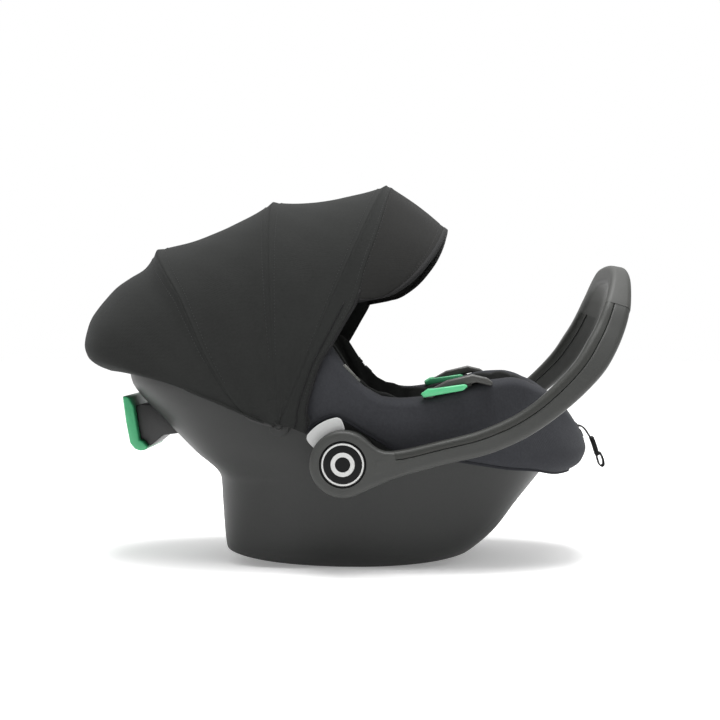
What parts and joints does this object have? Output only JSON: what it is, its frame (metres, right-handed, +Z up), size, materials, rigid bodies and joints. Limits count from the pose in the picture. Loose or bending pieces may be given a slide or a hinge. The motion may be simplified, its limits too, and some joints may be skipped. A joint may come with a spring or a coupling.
{
  "type": "infant car seat",
  "caption": "Rearward infant car seat: rocker shell with padded cover, swinging carry handle, folding three-bow canopy with visor, headrest, harness and belt guides.",
  "frame": {"origin": "lowest point of the rocker under the shell, on the floor, on the middle plane", "axes": "+X towards the child's feet and the front lip, +Y to the child's left, +Z up"},
  "size_m": [0.6604, 0.44, 0.4579],
  "materials": {
    "shell_plastic": "satin, fine moulded grain",
    "liner_foam": "expanded foam bead skin",
    "cover_fabric": "soft knit jersey",
    "pad_fabric": "quilted knit",
    "canopy_fabric": "fine plain weave",
    "black_plastic": "satin",
    "steel": "satin zinc",
    "handle_plastic": "fine moulded grain",
    "handle_dark": "fine moulded grain",
    "grip_rubber": "soft touch",
    "cap_black": "semi gloss",
    "release_grey": "fine moulded grain",
    "guide_grey": "fine moulded grain",
    "guide_green": "satin",
    "webbing": "ribbed webbing",
    "buckle_plastic": "satin",
    "button_red": "satin"
  },
  "bodies": {
    "seat": {"shell": "shell_plastic", "base_bar_rear": "steel", "base_bar_front": "steel", "impact_liner": "liner_foam", "seat_cover": "cover_fabric", "lap_guide_right": "guide_grey", "lap_guide_insert_right": "guide_green", "lap_guide_left": "guide_grey", "lap_guide_insert_left": "guide_green", "seat_pad": "pad_fabric", "back_pad": "pad_fabric", "side_bolster_right": "pad_fabric", "side_bolster_left": "pad_fabric", "buckle_body": "buckle_plastic", "buckle_tongue_right": "steel", "shoulder_strap_right": "webbing", "shoulder_pad_right": "pad_fabric", "buckle_tongue_left": "steel", "shoulder_strap_left": "webbing", "shoulder_pad_left": "pad_fabric", "crotch_strap": "webbing", "crotch_pad": "pad_fabric", "adjuster_housing": "buckle_plastic", "adjuster_strap": "webbing", "shoulder_belt_guide": "guide_green", "belt_guide_bracket": "black_plastic", "hub_base_right": "guide_grey", "handle_axle_right": "steel", "release_spring_right": "steel", "hub_base_left": "guide_grey", "handle_axle_left": "steel", "release_spring_left": "steel", "canopy_bracket_right": "black_plastic", "canopy_bracket_left": "black_plastic", "canopy_back_panel": "canopy_fabric", "rim_tab_right": "release_grey", "rim_tab_left": "release_grey"},
    "carry_handle": {"handle_frame": "handle_plastic", "handle_grip": "grip_rubber", "handle_cover_right": "handle_dark", "handle_cover_left": "handle_dark", "lock_ring_right": "steel", "lock_ring_left": "steel", "hub_cap_right": "cap_black", "hub_cap_left": "cap_black"},
    "release_right": {"release_button_right": "release_grey"},
    "release_left": {"release_button_left": "release_grey"},
    "bow_rear": {"rear_bow": "black_plastic", "canopy_rear_panel": "canopy_fabric"},
    "bow_middle": {"middle_bow": "black_plastic", "canopy_front_panel": "canopy_fabric"},
    "bow_front": {"front_bow": "black_plastic", "canopy_front_band": "canopy_fabric"},
    "visor": {"visor_panel": "canopy_fabric", "visor_wire": "steel"},
    "headrest": {"headrest_board": "black_plastic", "headrest_pad": "pad_fabric"},
    "buckle_press": {"buckle_button": "button_red"},
    "adjuster_press": {"adjuster_button": "buckle_plastic"}
  },
  "joints": [
    {"name": "handle_swing", "type": "hinge", "parent": "seat", "child": "carry_handle", "pos_m": [-0.005, 0, 0.13], "axis": [0, -1, 0], "range_deg": [-40, 62]},
    {"name": "release_press_right", "type": "slide", "parent": "seat", "child": "release_right", "axis": [0.515, 0, -0.8572], "range_m": [0, 0.005], "stiffness_N_per_m": 600, "deforming": ["release_spring_right"]},
    {"name": "release_press_left", "type": "slide", "parent": "seat", "child": "release_left", "axis": [0.515, 0, -0.8572], "range_m": [0, 0.005], "stiffness_N_per_m": 600, "deforming": ["release_spring_left"]},
    {"name": "canopy_rear_fold", "type": "hinge", "parent": "seat", "child": "bow_rear", "pos_m": [-0.08, 0, 0.171], "axis": [0, -1, 0], "range_deg": [0, 16], "deforming": ["canopy_back_panel"]},
    {"name": "canopy_middle_fold", "type": "hinge", "parent": "bow_rear", "child": "bow_middle", "pos_m": [-0.08, 0, 0.171], "axis": [0, -1, 0], "range_deg": [0, 28], "deforming": ["canopy_rear_panel"]},
    {"name": "canopy_front_fold", "type": "hinge", "parent": "bow_middle", "child": "bow_front", "pos_m": [-0.08, 0, 0.171], "axis": [0, -1, 0], "range_deg": [0, 22.4], "deforming": ["canopy_front_panel"]},
    {"name": "visor_flip", "type": "hinge", "parent": "bow_front", "child": "visor", "pos_m": [0.008, 0, 0.313], "axis": [0, -1, 0], "range_deg": [0, 25], "deforming": ["visor_panel"]},
    {"name": "headrest_slide", "type": "slide", "parent": "seat", "child": "headrest", "axis": [-0.685, 0, 0.7285], "range_m": [0, 0.04]},
    {"name": "buckle_release", "type": "slide", "parent": "seat", "child": "buckle_press", "axis": [-0.392, 0, -0.92], "range_m": [0, 0.0025], "stiffness_N_per_m": 1500},
    {"name": "adjuster_release", "type": "slide", "parent": "seat", "child": "adjuster_press", "axis": [-0.9121, 0, -0.41], "range_m": [0, 0.0025], "stiffness_N_per_m": 1500}
  ],
  "couplings": [
    {"joint": "canopy_middle_fold", "follows": "canopy_rear_fold", "ratio": 1.75},
    {"joint": "canopy_front_fold", "follows": "canopy_rear_fold", "ratio": 1.4}
  ]
}
